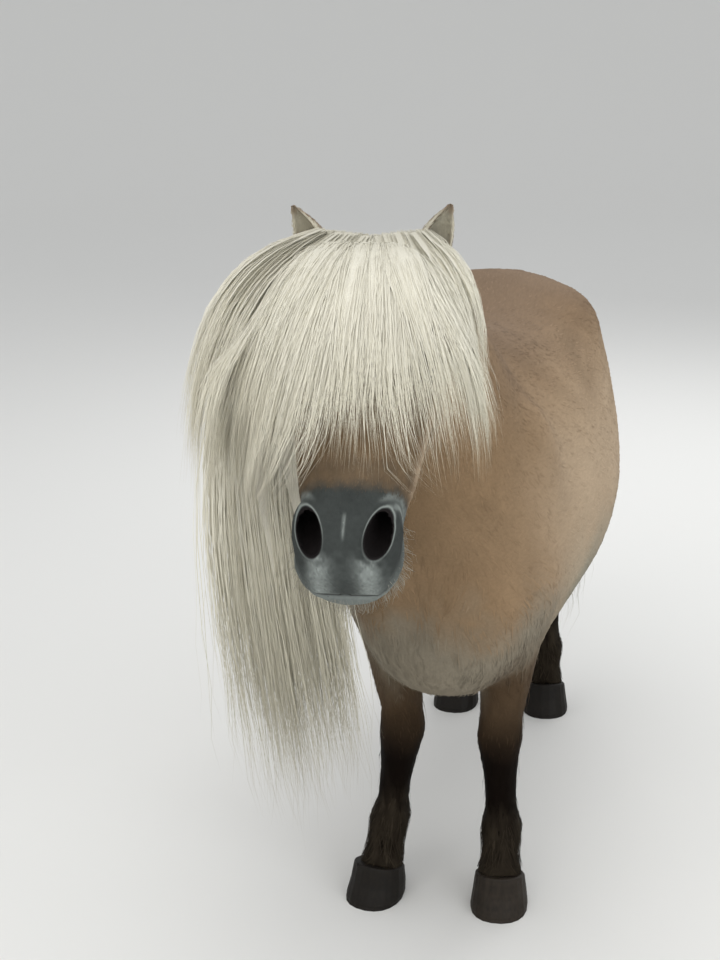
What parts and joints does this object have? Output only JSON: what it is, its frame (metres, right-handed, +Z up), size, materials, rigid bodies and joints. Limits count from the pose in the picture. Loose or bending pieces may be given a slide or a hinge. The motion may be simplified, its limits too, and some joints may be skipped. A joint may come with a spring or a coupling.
{
  "type": "shetland pony",
  "caption": "Life-size Shetland pony standing square, head raised and facing ahead, with a long forelock over the eyes, a mane thrown to its right side and a full tail.",
  "frame": {"origin": "middle of the bounding box at the floor, level with the soles of the hooves", "axes": "the pony faces -Y, its left side is +X, and +Z is up"},
  "size_m": [0.4904, 1.474, 1.0816],
  "materials": {
    "coat": "short brushed hair",
    "hair": "long coarse hair",
    "horn": "dull hoof horn",
    "eye": "wet and glossy"
  },
  "bodies": {
    "root": {"head": "coat", "neck": "coat", "torso": "coat", "leg_front_left": "coat", "leg_front_right": "coat", "leg_hind_left": "coat", "leg_hind_right": "coat", "shank_front_left": "coat", "shank_front_right": "coat", "shank_hind_left": "coat", "shank_hind_right": "coat", "hoof_front_left": "horn", "hoof_front_right": "horn", "hoof_hind_left": "horn", "hoof_hind_right": "horn", "ear_left": "coat", "ear_right": "coat", "eye_left": "eye", "eye_right": "eye", "forelock": "hair", "mane": "hair", "tail": "hair"}
  },
  "joints": []
}
